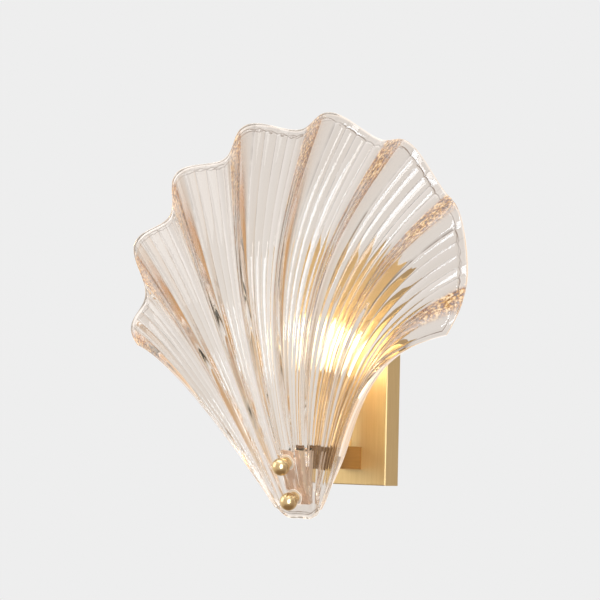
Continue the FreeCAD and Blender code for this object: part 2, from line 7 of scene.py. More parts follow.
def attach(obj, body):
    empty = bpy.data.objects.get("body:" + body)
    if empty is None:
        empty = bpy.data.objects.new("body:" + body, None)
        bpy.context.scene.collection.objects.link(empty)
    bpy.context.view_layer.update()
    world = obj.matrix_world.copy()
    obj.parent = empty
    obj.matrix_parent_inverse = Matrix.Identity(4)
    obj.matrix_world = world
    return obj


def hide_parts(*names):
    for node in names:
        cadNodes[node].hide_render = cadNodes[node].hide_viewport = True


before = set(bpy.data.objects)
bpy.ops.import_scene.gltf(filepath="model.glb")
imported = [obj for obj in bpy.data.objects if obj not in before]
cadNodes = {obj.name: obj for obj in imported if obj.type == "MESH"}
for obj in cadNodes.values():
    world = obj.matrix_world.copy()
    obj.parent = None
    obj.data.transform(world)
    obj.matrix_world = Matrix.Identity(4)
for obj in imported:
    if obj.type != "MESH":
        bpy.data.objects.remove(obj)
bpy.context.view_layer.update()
print("frame loaded with", len(cadNodes), "nodes")


def addObject(name, data):
    thing = bpy.data.objects.new(name, data)
    bpy.context.scene.collection.objects.link(thing)
    return thing


def meshFrom(bm, name):
    mesh = bpy.data.meshes.new(name)
    bm.to_mesh(mesh)
    bm.free()
    return mesh


def finishPiece(bm, name, body, material):
    # a bmesh becomes a smooth shaded piece that rides a body
    mesh = meshFrom(bm, name)
    mesh.shade_smooth()
    mesh.materials.append(material)
    piece = addObject(name, mesh)
    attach(piece, body)
    return piece


def paintNode(name, material):
    for slot in cadNodes[name].material_slots:
        slot.material = material


def cubic(values, t):
    a, b, c, d = values
    u = 1 - t
    return a * u ** 3 + 3 * b * u * u * t + 3 * c * u * t * t + d * t ** 3


def smooth(value):
    value = max(0.0, min(1.0, value))
    return value * value * (3 - 2 * value)


def newMaterial(name):
    material = bpy.data.materials.new(name)
    material.use_nodes = True
    tree = material.node_tree
    tree.nodes.clear()
    output = tree.nodes.new("ShaderNodeOutputMaterial")
    shader = tree.nodes.new("ShaderNodeBsdfPrincipled")
    tree.links.new(shader.outputs["BSDF"], output.inputs["Surface"])
    return material, tree, shader


def startGroup(name, inputs, outputs):
    # inputs are (name, socket type, default value) rows, outputs (name, socket type)
    group = bpy.data.node_groups.new(name, "ShaderNodeTree")
    for label, kind, value in inputs:
        group.interface.new_socket(label, in_out="INPUT", socket_type=kind).default_value = value
    for label, kind in outputs:
        group.interface.new_socket(label, in_out="OUTPUT", socket_type=kind)
    return group, group.nodes.new("NodeGroupInput"), group.nodes.new("NodeGroupOutput")


def feed(tree, socket, value):
    # a number or a colour is set on the socket, anything else is linked to it
    if isinstance(value, (int, float)):
        socket.default_value = value
    elif isinstance(value, tuple):
        socket.default_value = (*value, 1)
    else:
        tree.links.new(value, socket)


def mathNode(tree, operation, *values, clamp=False):
    node = tree.nodes.new("ShaderNodeMath")
    node.operation = operation
    node.use_clamp = clamp
    for socket, value in zip(node.inputs, values):
        feed(tree, socket, value)
    return node.outputs[0]


def mixColour(tree, factor, first, second, blend="MIX"):
    node = tree.nodes.new("ShaderNodeMix")
    node.data_type = "RGBA"
    node.blend_type = blend
    factorAndColours = (node.inputs[0], node.inputs[6], node.inputs[7])
    for socket, value in zip(factorAndColours, (factor, first, second)):
        feed(tree, socket, value)
    return node.outputs[2]


def mapRange(tree, value, low, high, fromLow=0.0, fromHigh=1.0):
    node = tree.nodes.new("ShaderNodeMapRange")
    tree.links.new(value, node.inputs["Value"])
    node.inputs["From Min"].default_value = fromLow
    node.inputs["From Max"].default_value = fromHigh
    node.inputs["To Min"].default_value = low
    node.inputs["To Max"].default_value = high
    return node.outputs["Result"]


def objectCoords(tree, scale=(1, 1, 1)):
    coords = tree.nodes.new("ShaderNodeTexCoord")
    mapping = tree.nodes.new("ShaderNodeMapping")
    mapping.inputs["Scale"].default_value = scale
    tree.links.new(coords.outputs["Object"], mapping.inputs["Vector"])
    return mapping.outputs["Vector"]


def placeGroup(tree, group, stretch=(1, 1, 1)):
    node = tree.nodes.new("ShaderNodeGroup")
    node.node_tree = group
    tree.links.new(objectCoords(tree, stretch), node.inputs["Vector"])
    return node


def noise(tree, coords, scale, detail, roughness=0.5):
    node = tree.nodes.new("ShaderNodeTexNoise")
    feed(tree, node.inputs["Scale"], scale)
    node.inputs["Detail"].default_value = detail
    node.inputs["Roughness"].default_value = roughness
    tree.links.new(coords, node.inputs["Vector"])
    return node.outputs["Fac"]


def attribute(tree, name):
    node = tree.nodes.new("ShaderNodeAttribute")
    node.attribute_name = name
    return node.outputs["Fac"]


def colourRamp(tree, factor, rows):
    # rows of place and colour, from the ramp's start to its end
    ramp = tree.nodes.new("ShaderNodeValToRGB")
    tree.links.new(factor, ramp.inputs["Fac"])
    stops = ramp.color_ramp.elements
    for place, colour in rows[1:-1]:
        stops.new(place).color = (*colour, 1)
    stops[0].color = (*rows[0][1], 1)
    stops[-1].color = (*rows[-1][1], 1)
    return ramp.outputs["Color"]


def bumpFrom(tree, height, distance, strength=1.0):
    bump = tree.nodes.new("ShaderNodeBump")
    bump.inputs["Strength"].default_value = strength
    bump.inputs["Distance"].default_value = distance
    tree.links.new(height, bump.inputs["Height"])
    return bump.outputs["Normal"]


grainLook = {
    # scales are in noise cells per metre; contrast is the part of the noise that fills the whole range
    "scale": 900.0, "detail": 4, "roughness": 0.65, "contrast": (0.3, 0.7),
    "cloudScale": 40.0, "cloudDetail": 3, "cloudAmount": 0.4,
}


def makeGrainGroup():
    # long fine scratches with a soft cloudiness over them, for brushed and turned metal
    look = grainLook
    group, given, result = startGroup(
        "brushGrain",
        [("Vector", "NodeSocketVector", (0, 0, 0)), ("Grain Scale", "NodeSocketFloat", look["scale"]),
         ("Cloud Scale", "NodeSocketFloat", look["cloudScale"]),
         ("Cloud Amount", "NodeSocketFloat", look["cloudAmount"])],
        [("Grain", "NodeSocketFloat"), ("Cloud", "NodeSocketFloat"), ("Height", "NodeSocketFloat")])
    coords = given.outputs["Vector"]
    grain = noise(group, coords, given.outputs["Grain Scale"], look["detail"], look["roughness"])
    cloud = noise(group, coords, given.outputs["Cloud Scale"], look["cloudDetail"])
    spread = mapRange(group, grain, 0, 1, *look["contrast"])
    soft = mapRange(group, cloud, 0, 1, *look["contrast"])
    softened = mathNode(group, "MULTIPLY", soft, given.outputs["Cloud Amount"])
    group.links.new(spread, result.inputs["Grain"])
    group.links.new(softened, result.inputs["Cloud"])
    group.links.new(grain, result.inputs["Height"])
    return group


speckLook = {
    "poreScale": 1500.0, "mottleScale": 90.0, "mottleDetail": 5,
    "contrast": (0.25, 0.75), "bumpStrength": 0.5,
}


def makeSpeckGroup():
    # pores and faint mottling of moulded plastics, rubber and insulation
    look = speckLook
    group, given, result = startGroup(
        "mouldSpeck",
        [("Vector", "NodeSocketVector", (0, 0, 0)), ("Pore Scale", "NodeSocketFloat", look["poreScale"]),
         ("Mottle Scale", "NodeSocketFloat", look["mottleScale"])],
        [("Mottle", "NodeSocketFloat"), ("Height", "NodeSocketFloat")])
    pores = group.nodes.new("ShaderNodeTexVoronoi")
    group.links.new(given.outputs["Vector"], pores.inputs["Vector"])
    group.links.new(given.outputs["Pore Scale"], pores.inputs["Scale"])
    mottle = noise(group, given.outputs["Vector"], given.outputs["Mottle Scale"], look["mottleDetail"])
    group.links.new(mapRange(group, mottle, 0, 1, *look["contrast"]), result.inputs["Mottle"])
    group.links.new(pores.outputs["Distance"], result.inputs["Height"])
    return group


grainGroup = makeGrainGroup()
speckGroup = makeSpeckGroup()

metals = {
    # light tone, dark tone, roughness range, stretch of the grain, bump height in metres
    "satinBrassUp": ((0.78, 0.60, 0.31), (0.67, 0.49, 0.23), (0.40, 0.52), (1, 1, 0.03), 0.000012),
    # painted shade: the arm's brass is far darker than the canopy's, for the shade it stands in
    "shadedSatinBrassAlong": ((0.27, 0.15, 0.06), (0.21, 0.11, 0.04), (0.38, 0.50), (1, 0.03, 1), 0.000012),
    "satinBrassRound": ((0.80, 0.58, 0.32), (0.66, 0.45, 0.23), (0.26, 0.38), (0.06, 0.06, 1), 0.000010),
    "ballBrass": ((0.80, 0.61, 0.34), (0.77, 0.58, 0.32), (0.22, 0.25), (1, 1, 1), 0.0),
    "bracketBrass": ((0.90, 0.78, 0.66), (0.82, 0.70, 0.58), (0.36, 0.46), (0.05, 1, 1), 0.000006),
    "zincSteel": ((0.72, 0.72, 0.70), (0.52, 0.53, 0.52), (0.28, 0.46), (1, 1, 1), 0.000008),
    "capNickel": ((0.78, 0.76, 0.72), (0.60, 0.58, 0.54), (0.16, 0.28), (0.08, 0.08, 1), 0.000006),
    "capBrass": ((0.80, 0.62, 0.34), (0.62, 0.45, 0.22), (0.20, 0.34), (0.08, 0.08, 1), 0.000006),
}


def makeMetal(name):
    light, dark, rough, stretch, height = metals[name]
    material, tree, shader = newMaterial(name)
    grain = placeGroup(tree, grainGroup, stretch)
    colour = mixColour(tree, grain.outputs["Grain"], dark, light)
    colour = mixColour(tree, grain.outputs["Cloud"], colour, light)
    tree.links.new(colour, shader.inputs["Base Color"])
    tree.links.new(mapRange(tree, grain.outputs["Grain"], *rough), shader.inputs["Roughness"])
    tree.links.new(bumpFrom(tree, grain.outputs["Height"], height), shader.inputs["Normal"])
    shader.inputs["Metallic"].default_value = 1.0
    return material


metalSet = {name: makeMetal(name) for name in metals}
print("metals made:", ", ".join(metalSet))

plastics = {
    # light tone, dark tone, roughness, bump height in metres
    "whiteThermoset": ((0.86, 0.85, 0.80), (0.78, 0.76, 0.70), (0.38, 0.55), 0.00002),
    "clearNylon": ((0.92, 0.84, 0.76), (0.84, 0.74, 0.65), (0.30, 0.42), 0.00001),
    "paleRubber": ((0.66, 0.47, 0.36), (0.58, 0.41, 0.31), (0.55, 0.72), 0.00003),
    "blackVitrite": ((0.05, 0.05, 0.055), (0.02, 0.02, 0.025), (0.10, 0.22), 0.00001),
    "brownSleeve": ((0.27, 0.14, 0.08), (0.20, 0.10, 0.055), (0.35, 0.50), 0.00001),
    "blueSleeve": ((0.09, 0.22, 0.52), (0.06, 0.16, 0.40), (0.35, 0.50), 0.00001),
    "greenSleeve": ((0.26, 0.46, 0.12), (0.19, 0.36, 0.08), (0.35, 0.50), 0.00001),
}


def makePlastic(name):
    light, dark, rough, height = plastics[name]
    material, tree, shader = newMaterial(name)
    speck = placeGroup(tree, speckGroup)
    tree.links.new(mixColour(tree, speck.outputs["Mottle"], dark, light), shader.inputs["Base Color"])
    tree.links.new(mapRange(tree, speck.outputs["Mottle"], *rough), shader.inputs["Roughness"])
    pores = bumpFrom(tree, speck.outputs["Height"], height, speckLook["bumpStrength"])
    tree.links.new(pores, shader.inputs["Normal"])
    return material


plasticSet = {name: makePlastic(name) for name in plastics}
print("plastics made:", ", ".join(plasticSet))


def letLampsThrough(tree, shader, tint):
    # shadow rays pass as through thin clear glass, so that the bulb and the lamps light what is behind
    surface = shader.outputs["BSDF"].links[0].to_socket
    path = tree.nodes.new("ShaderNodeLightPath")
    clear = tree.nodes.new("ShaderNodeBsdfTransparent")
    clear.inputs["Color"].default_value = (*tint, 1)
    shadowRay = path.outputs["Is Shadow Ray"]
    tree.links.new(mixShaders(tree, shadowRay, shader.outputs["BSDF"], clear.outputs["BSDF"]), surface)


def mixShaders(tree, factor, first, second):
    node = tree.nodes.new("ShaderNodeMixShader")
    for socket, source in zip(node.inputs, (factor, first, second)):
        tree.links.new(source, socket)
    return node.outputs[0]


shellGlassLook = {
    "body": (0.83, 0.76, 0.70), "lit": (1.0, 0.97, 0.92),
    # painted shade: dark colours for the grooves between the reeds and for the arch line
    "crease": (0.10, 0.07, 0.05), "line": (0.20, 0.13, 0.09),
    # painted reflection: the amber ramp stands for the brass seen reflected in the glass
    "paintedAmberReflection": ((0.0, (0.05, 0.01, 0.0)), (0.25, (0.26, 0.055, 0.006)), (0.5, (0.54, 0.16, 0.014)),
              (0.72, (0.85, 0.46, 0.12)), (0.86, (1.0, 0.88, 0.60)), (1.0, (0.72, 0.45, 0.18))),
    # painted glow colours: glints in the crackle, the glass near the bulb and its cut edge
    "paintedGlintColour": (0.46, 0.26, 0.08), "nearBulb": (0.95, 0.78, 0.48), "edge": (0.34, 0.31, 0.28),
    "roughness": (0.01, 0.04), "ior": 1.5, "ripple": 0.0005, "shadow": (0.93, 0.89, 0.83),
    # cells per metre and detail of the two kinds of unevenness
    "slow": (60, 3), "fine": (480, 4),
    # two strengths, and the two values of the noise or of the mask that they belong to
    "crackleRange": (0, 1, 0.36, 0.66), "brokenRange": (0.74, 1.0, 0.38, 0.58),
    "creaseRange": (0.22, 0.75, 0.36, 0.60),
    "archRange": (1, 0, 0.18, 0.55), "archBroken": (0.35, 1.0, 0.40, 0.55),
    "paintedRimGlowRange": (1, 0, 0.2, 1.5), "paintedGlintRange": (0, 1, 0.46, 0.70), "paintedBulbGlowRange": (0.05, 0.4),
}
shellMasks = ("flank", "outer", "crease", "near", "rim")


def makeShellGlass():
    look = shellGlassLook
    material, tree, shader = newMaterial("shellGlass")
    coords = objectCoords(tree)
    slow = noise(tree, coords, *look["slow"])
    fine = noise(tree, coords, *look["fine"])
    flank, outer, crease, near, rim = [attribute(tree, name) for name in shellMasks]
    # painted light: the glass's colour turns to the lit tone where the bulb is near
    body = mixColour(tree, near, look["body"], look["lit"])
    # painted reflection of the brass: crackled amber on the steep side of each ridge, strongest towards the
    # rim
    uneven = mapRange(tree, mixColour(tree, outer, slow, fine), *look["crackleRange"])
    crackle = colourRamp(tree, uneven, look["paintedAmberReflection"])
    paintedReflectionMask = mathNode(tree, "MULTIPLY", flank, mapRange(tree, slow, *look["brokenRange"]), clamp=True)
    colour = mixColour(tree, paintedReflectionMask, body, crackle)
    # painted shade: fine dark lines between the reeds, and on the arches that end them near the rim
    paintedCreaseShade = mathNode(tree, "MULTIPLY", crease, mapRange(tree, slow, *look["creaseRange"]), clamp=True)
    colour = mixColour(tree, paintedCreaseShade, colour, look["crease"])
    # painted shade: the pressed arch line near the rim is drawn dark
    arch = mapRange(tree, mathNode(tree, "ABSOLUTE", attribute(tree, "arch")), *look["archRange"])
    paintedArchShade = mathNode(tree, "MULTIPLY", arch, mapRange(tree, slow, *look["archBroken"]))
    colour = mixColour(tree, paintedArchShade, colour, look["line"])
    tree.links.new(colour, shader.inputs["Base Color"])
    tree.links.new(mapRange(tree, fine, *look["roughness"]), shader.inputs["Roughness"])
    height = mathNode(tree, "MULTIPLY", mathNode(tree, "MULTIPLY", fine, flank), outer)
    tree.links.new(bumpFrom(tree, height, look["ripple"]), shader.inputs["Normal"])
    # painted glow: the glass itself emits light at the cut edge, painted glints in the crackle, and painted
    # light where the bulb is near
    light = mixColour(tree, mapRange(tree, rim, *look["paintedRimGlowRange"]), (0.0, 0.0, 0.0), look["edge"])
    paintedGlints = mathNode(tree, "MULTIPLY", paintedReflectionMask, outer)
    paintedGlints = mathNode(tree, "MULTIPLY", paintedGlints, mapRange(tree, fine, *look["paintedGlintRange"]))
    side = tree.nodes.new("ShaderNodeNewGeometry")
    paintedGlints = mathNode(tree, "MULTIPLY", paintedGlints, mathNode(tree, "SUBTRACT", 1, side.outputs["Backfacing"]))
    light = mixColour(tree, paintedGlints, light, look["paintedGlintColour"])
    paintedBulbGlow = mathNode(tree, "MULTIPLY", near, mapRange(tree, crease, *look["paintedBulbGlowRange"]))
    light = mixColour(tree, paintedBulbGlow, light, look["nearBulb"], "ADD")
    tree.links.new(light, shader.inputs["Emission Color"])
    shader.inputs["Emission Strength"].default_value = 1.0
    shader.inputs["Transmission Weight"].default_value = 1.0
    shader.inputs["IOR"].default_value = look["ior"]
    letLampsThrough(tree, shader, look["shadow"])
    return material


bulbGlassLook = {
    "base": (0.98, 0.95, 0.88), "unlit": (0.02, 0.01, 0.004), "lit": (1.0, 0.87, 0.64), "strength": 0.6,
    "cloud": (60, 2), "cloudRange": (0.9, 1.05),
    "fade": (1.0, 0.03, 0.004, 0.030),  # full light up to a height of 4 mm, nearly none from 30 mm
    "facingBlend": 0.35, "facingRange": (1, 0, 0.0, 0.5),
    "roughness": (0.08, 0.35), "ior": 1.45, "shadow": (1.0, 0.97, 0.9),
}


def makeBulbGlass():
    # warm light comes through the milky lower half of the candle and fades towards its tip
    look = bulbGlassLook
    material, tree, shader = newMaterial("candleGlass")
    coords = objectCoords(tree)
    split = tree.nodes.new("ShaderNodeSeparateXYZ")
    tree.links.new(coords, split.inputs["Vector"])
    fade = mapRange(tree, split.outputs["Z"], *look["fade"])
    cloud = mapRange(tree, noise(tree, coords, *look["cloud"]), *look["cloudRange"])
    facing = tree.nodes.new("ShaderNodeLayerWeight")
    facing.inputs["Blend"].default_value = look["facingBlend"]
    glow = mathNode(tree, "MULTIPLY", fade, cloud)
    glow = mathNode(tree, "MULTIPLY", glow, mapRange(tree, facing.outputs["Facing"], *look["facingRange"]))
    tree.links.new(mixColour(tree, glow, look["unlit"], look["lit"]), shader.inputs["Emission Color"])
    tree.links.new(mapRange(tree, fade, *look["roughness"]), shader.inputs["Roughness"])
    shader.inputs["Emission Strength"].default_value = look["strength"]
    shader.inputs["Base Color"].default_value = (*look["base"], 1)
    shader.inputs["Transmission Weight"].default_value = 1.0
    shader.inputs["IOR"].default_value = look["ior"]
    letLampsThrough(tree, shader, look["shadow"])
    return material


lightStickLook = {
    "base": (1.0, 0.78, 0.42), "dark": (1.0, 0.80, 0.50), "light": (1.0, 0.90, 0.68), "strength": 2.5,
}


def makeFilament():
    look = lightStickLook
    material, tree, shader = newMaterial("lightStick")
    speck = placeGroup(tree, speckGroup)
    tree.links.new(mixColour(tree, speck.outputs["Mottle"], look["dark"], look["light"]),
                   shader.inputs["Emission Color"])
    shader.inputs["Base Color"].default_value = (*look["base"], 1)
    shader.inputs["Emission Strength"].default_value = look["strength"]
    return material


shellGlass = makeShellGlass()
bulbGlass = makeBulbGlass()
filamentGlow = makeFilament()
print("glass made")

shell = {
    # measures of the pressed glass shell's arc in metres, each a cubic from the tip to the rim
    "halfWidths": (0.0132, 0.0470, 0.0636, 0.1451),
    "centreHeights": (-0.1127, -0.0510, 0.0149, 0.0552),
    "crownHeights": (0.0062, 0.0818, 0.0576, 0.1169),
    "sideReaches": (0.0859, 0.1001, 0.1440, 0.1059),
    "crownBulges": (0.0008, 0.0506, -0.0078, -0.0008),
    "waveHeights": (0.0, 0.0023, 0.0068, 0.0085),
    "reedHeights": (0.0, 0.0003, 0.0009, 0.0009),
    "thickness": 0.006, "corner": 0.0012,
    # a turn is one ridge to the next; the outer ridges stand wider apart
    "pitch": math.radians(29.22), "spread": 0.0455, "edgeTurn": 3.62, "valleys": (-3, -2, -1, 0, 1, 2, 3),
    "reach": 0.4, "reeds": 8, "scallop": 0.0292, "rimCorner": 0.0099, "cornerStart": math.radians(102.6),
    "tipStart": -0.0150, "tipRise": 0.0814, "tipPower": 2.3, "tipCorner": 0.020, "tipCornerPower": 10,
    # each reed ends in an arch this far below the rim, in a fine pressed line that runs on round the sides
    "archDrop": 0.0050, "archSag": 0.0013, "archBlend": 0.0012,
    "lineDepth": 0.00035, "lineWidth": 0.0006, "sideBand": 0.0042,
    # a reed is nearly flat with a sharp groove at each side, so its columns crowd there
    "reedPower": 6, "reedColumns": (0.05, 0.15, 0.50, 0.85, 0.95, 1.0), "ridgeColumns": 6,
    "sideColumns": 18, "sidePower": 0.66,
    # this share of a reed is lost where the steep side of a ridge begins
    "steepLoss": 0.85, "steepPlace": 0.06, "steepWidth": 0.05,
    "rows": 56, "cornerRows": 4, "rimRows": 20, "tipRows": 14,
    "cornerSpan": 0.0036, "rimSpan": 0.0340, "tipSpan": 0.0360,  # shares of the shell's length
}
reedTurn = 2 * shell["reach"] / shell["reeds"]
slopeStep = 0.0005  # the step along a turn or a station that a slope is measured over


def turnAngle(turn):
    return shell["pitch"] * turn + math.copysign(shell["spread"] * max(0.0, abs(turn) - 2) ** 2, turn)


edgeAngle = turnAngle(shell["edgeTurn"])


def spaced(start, end, count, power=1.0):
    # places from just after start to end, closer together near the end where the power is under 1
    return [start + (end - start) * (k / count) ** power for k in range(1, count + 1)]


def makeTurns():
    # where the grid's columns stand across the shell: side, reeds, ridge, reeds and so on
    outer = shell["valleys"][-1] + shell["reach"]
    right = spaced(outer, shell["edgeTurn"], shell["sideColumns"], shell["sidePower"])
    turns = [-turn for turn in reversed(right)] + [-outer]
    for valley in shell["valleys"]:
        for reed in range(shell["reeds"]):
            turns += [valley - shell["reach"] + reedTurn * (reed + place) for place in shell["reedColumns"]]
        if valley < shell["valleys"][-1]:
            turns += spaced(valley + shell["reach"], valley + 1 - shell["reach"], shell["ridgeColumns"])
    return turns + right


def makeShares():
    # where the grid's rows stand between the tip and the rim, close together at both ends
    corner, span, rim = shell["cornerRows"], shell["cornerSpan"], shell["rimSpan"]
    tipEnd = [span * (k / corner) ** 2 for k in range(corner + 1)]
    middle = spaced(span, shell["tipSpan"], shell["tipRows"])
    middle += spaced(shell["tipSpan"], 1 - rim, shell["rows"])
    nearRim = spaced(1 - rim, 1 - span, shell["rimRows"])
    return tipEnd + middle + nearRim + [1 - share for share in reversed(tipEnd[:-1])]


columnTurns = makeTurns()
rowShares = makeShares()


def wave(turn):
    return -math.cos(2 * math.pi * turn)  # 1 on a ridge, -1 in a valley


def firstStation(turn):
    side = (1 - math.cos(turnAngle(turn))) / (1 - math.cos(edgeAngle))
    corner = shell["tipCorner"] * abs(turn / shell["edgeTurn"]) ** shell["tipCornerPower"]
    return shell["tipStart"] + shell["tipRise"] * side ** shell["tipPower"] + corner


def lastStation(turn):
    corner = max(0.0, abs(turnAngle(turn)) - shell["cornerStart"]) / (edgeAngle - shell["cornerStart"])
    return 1 - shell["scallop"] * (1 - wave(turn)) / 2 - shell["rimCorner"] * corner ** 2


def meanPoint(turn, station):
    sine, cosine = math.sin(turnAngle(turn)), math.cos(turnAngle(turn))
    return Vector((cubic(shell["halfWidths"], station) * sine,
                   -cubic(shell["sideReaches"], station) - cubic(shell["crownBulges"], station) * cosine,
                   cubic(shell["centreHeights"], station) + cubic(shell["crownHeights"], station) * cosine))


def meanSteps(turn, station):
    along = meanPoint(turn, station + slopeStep) - meanPoint(turn, station - slopeStep)
    across = meanPoint(turn + slopeStep, station) - meanPoint(turn - slopeStep, station)
    return along / (2 * slopeStep), across / (2 * slopeStep)


def acrossCell(turn):
    # place across a reed or a ridge's plain band, 0 to 1, and whether it is a reed
    offset = turn - round(turn)
    if abs(turn) > shell["valleys"][-1] + shell["reach"] or abs(offset) > shell["reach"] + 1e-6:
        return (offset % 1 - shell["reach"]) / (1 - 2 * shell["reach"]), False
    return ((offset + shell["reach"]) / reedTurn + 1e-6) % 1, True


def reedShare(turn):
    return 1 - shell["steepLoss"] * smooth((turn - round(turn) - shell["steepPlace"]) / shell["steepWidth"])


def cornerInset(reach):
    # how far the face sinks where the glass rounds over to its edge
    corner = shell["corner"]
    if reach >= corner:
        return 0.0
    return corner - math.sqrt(max(0.0, corner ** 2 - (corner - max(0.0, reach)) ** 2))


def roundedNearest(first, second, power=4):
    # the nearer of two edges, with the corner between them rounded
    first, second = max(first, 1e-5), max(second, 1e-5)
    return (first ** -power + second ** -power) ** (-1 / power)


def bell(value, middle, width):
    return math.exp(-((value - middle) / width) ** 2)


marks = {
    # painted reflection of the brass, in amber on the steep side of each ridge: places and widths in turns,
    # and growth from tip to rim
    "outerStart": 0.62, "outerSpan": 0.33, "tipGrowth": 2.4, "tipBare": 0.2,
    "fillPlace": 0.27, "fillWidth": 0.08, "fillGrowth": 0.06, "fillReach": 1.4, "fillLeast": 0.25,
    "linePlaces": (0.16, 0.40), "lineWidth": 0.026, "lineReach": 1.5, "highLine": 0.6,
    "leftStart": 3.40, "leftSpan": 0.14,
    # painted shade in the grooves between the reeds: half as dark beyond the arches, with a painted dark
    # reflection round one place
    "creaseCell": 0.001, "creaseGrowth": 2, "creaseLeast": 0.5, "creaseBlend": 0.0010,
    "darkReflection": 4, "darkReflectionTurn": (2.4, 0.7), "darkReflectionStation": (0.64, 0.22),
    # painted light: the glass is made brightest near the bulb, in metres
    "bulbMiddle": (0, -0.0444, 0.010), "bulbReach": 0.098,
}


def flankMask(turn, station, outer):
    # painted reflection on the steep side of each ridge: amber all over near the rim, two thin lines
    # further down
    place = turn - math.floor(turn)
    width = marks["fillWidth"] + marks["fillGrowth"] * outer
    fill = smooth(marks["fillReach"] - abs(place - marks["fillPlace"]) / width)
    fill *= marks["fillLeast"] + (1 - marks["fillLeast"]) * outer
    low, high = [smooth(marks["lineReach"] - abs(place - line) / marks["lineWidth"])
                 for line in marks["linePlaces"]]
    # the painted reflection covers the outermost lobe on the left to its edge
    left = smooth((-turn - marks["leftStart"]) / marks["leftSpan"]) * outer
    grown = smooth(station * marks["tipGrowth"] - marks["tipBare"])
    return max(fill, low, marks["highLine"] * high, left) * grown


# painted shade in the grooves between the reeds
def creaseMask(turn, station, fromArch):
    crease = reedShare(turn) * smooth(station * marks["creaseGrowth"])
    least = marks["creaseLeast"]
    crease *= least + (1 - least) * smooth(fromArch / marks["creaseBlend"])
    # painted dark reflection: the creases are drawn darker round one place
    darkReflection = marks["darkReflection"] * bell(turn, *marks["darkReflectionTurn"]) * bell(station, *marks["darkReflectionStation"])
    return crease * (1 + darkReflection)


def bulbMask(place):
    # how near the glass is to the bulb's light, 1 close by
    away = (place - Vector(marks["bulbMiddle"])).length / marks["bulbReach"]
    return math.exp(-away ** 2)


def placeSheet(bm, vertices, back):
    # the flat grid's columns and rows are moved onto the shell's front or back
    layers = [bm.verts.layers.float[name] for name in (*shellMasks, "arch")]
    for vertex in vertices:
        turn = columnTurns[round((vertex.co.x + 0.5) * (len(columnTurns) - 1))]
        share = rowShares[round((vertex.co.y + 0.5) * (len(rowShares) - 1))]
        first, last = firstStation(turn), lastStation(turn)
        station = first + (last - first) * share
        along, across = meanSteps(turn, station)
        toRim = (last - station) * along.length
        toTip = (station - first) * along.length
        toSide = (shell["edgeTurn"] - abs(turn)) * across.length
        inset = cornerInset(min(toRim, toTip, toSide))
        rise = cubic(shell["waveHeights"], station) * wave(turn)
        cell, reeded = acrossCell(turn)
        fromArch = toRim - shell["archDrop"] - shell["archSag"] * (2 * cell - 1) ** 2
        fromArch = min(fromArch, roundedNearest(toSide, toTip) - shell["sideBand"])
        if not back:
            if reeded:
                crown = (1 - abs(2 * cell - 1) ** shell["reedPower"]) * reedShare(turn)
                rise += cubic(shell["reedHeights"], station) * crown * smooth(fromArch / shell["archBlend"])
            rise -= shell["lineDepth"] * math.exp(-(fromArch / shell["lineWidth"]) ** 2)
        depth = shell["thickness"] - inset if back else inset
        normal = across.cross(along).normalized()
        vertex.co = meanPoint(turn, station) - Vector((0, rise, 0)) - normal * depth
        # only the front is marked, because the light crosses both faces
        outer = smooth((station - marks["outerStart"]) / marks["outerSpan"])
        flank, crease, near = 0.0, 0.0, 0.0
        if not back:
            flank = flankMask(turn, station, outer)
            near = bulbMask(vertex.co)
            if reeded and cell < marks["creaseCell"]:
                crease = creaseMask(turn, station, fromArch)
        rim = min(toRim, toSide, toTip) * 1000  # rim and arch are kept in millimetres
        for layer, value in zip(layers, (flank, outer, crease, near, rim, fromArch * 1000)):
            vertex[layer] = value


clamp = {
    # the pad at the shell's tip, in metres: stud holes with seats for their bushes, and a pocket behind
    "station": 0.053, "studHeights": (-0.013, 0.013), "hole": 0.0035, "seat": 0.006, "seatDepth": 0.0006,
    "pocket": (0.0168, 0.0408), "pocketDepth": 0.0062,
    # how far the cutters run out of the glass: in front, through a hole and behind the pocket
    "inFront": 0.010, "through": 0.012, "behind": 0.02, "segments": 64,
}


def makePadFrame():
    # x across the shell, y up its face, z out of the glass along the studs
    station = clamp["station"]
    up = (meanPoint(0, station + slopeStep) - meanPoint(0, station - slopeStep)).normalized()
    out = Vector((1, 0, 0)).cross(up)
    frameMatrix = Matrix((Vector((1, 0, 0)), up, out)).transposed().to_4x4()
    return Matrix.Translation(meanPoint(0, station)) @ frameMatrix


def makeCutter(shape, start, end, height=0.0):
    # a round or square punch between two depths on the pad, as a mesh object
    bm = bmesh.new()
    if isinstance(shape, tuple):
        bmesh.ops.create_cube(bm, size=1.0)
        bmesh.ops.scale(bm, verts=bm.verts, vec=(*shape, end - start))
    else:
        bmesh.ops.create_cone(bm, cap_ends=True, segments=clamp["segments"],
                              radius1=shape, radius2=shape, depth=end - start)
    place = makePadFrame() @ Matrix.Translation((0, height, (start + end) / 2))
    bmesh.ops.transform(bm, matrix=place, verts=bm.verts)
    return addObject("cutter", meshFrom(bm, "cutter"))


def cutGlass(piece, cutters):
    for cutter in cutters:
        modifier = piece.modifiers.new("cut", "BOOLEAN")
        modifier.operation = "DIFFERENCE"
        modifier.solver = "EXACT"
        modifier.object = cutter
    bpy.context.view_layer.update()
    cut = bpy.data.meshes.new_from_object(piece.evaluated_get(bpy.context.evaluated_depsgraph_get()))
    piece.modifiers.clear()
    piece.data = cut
    for cutter in cutters:
        bpy.data.objects.remove(cutter)


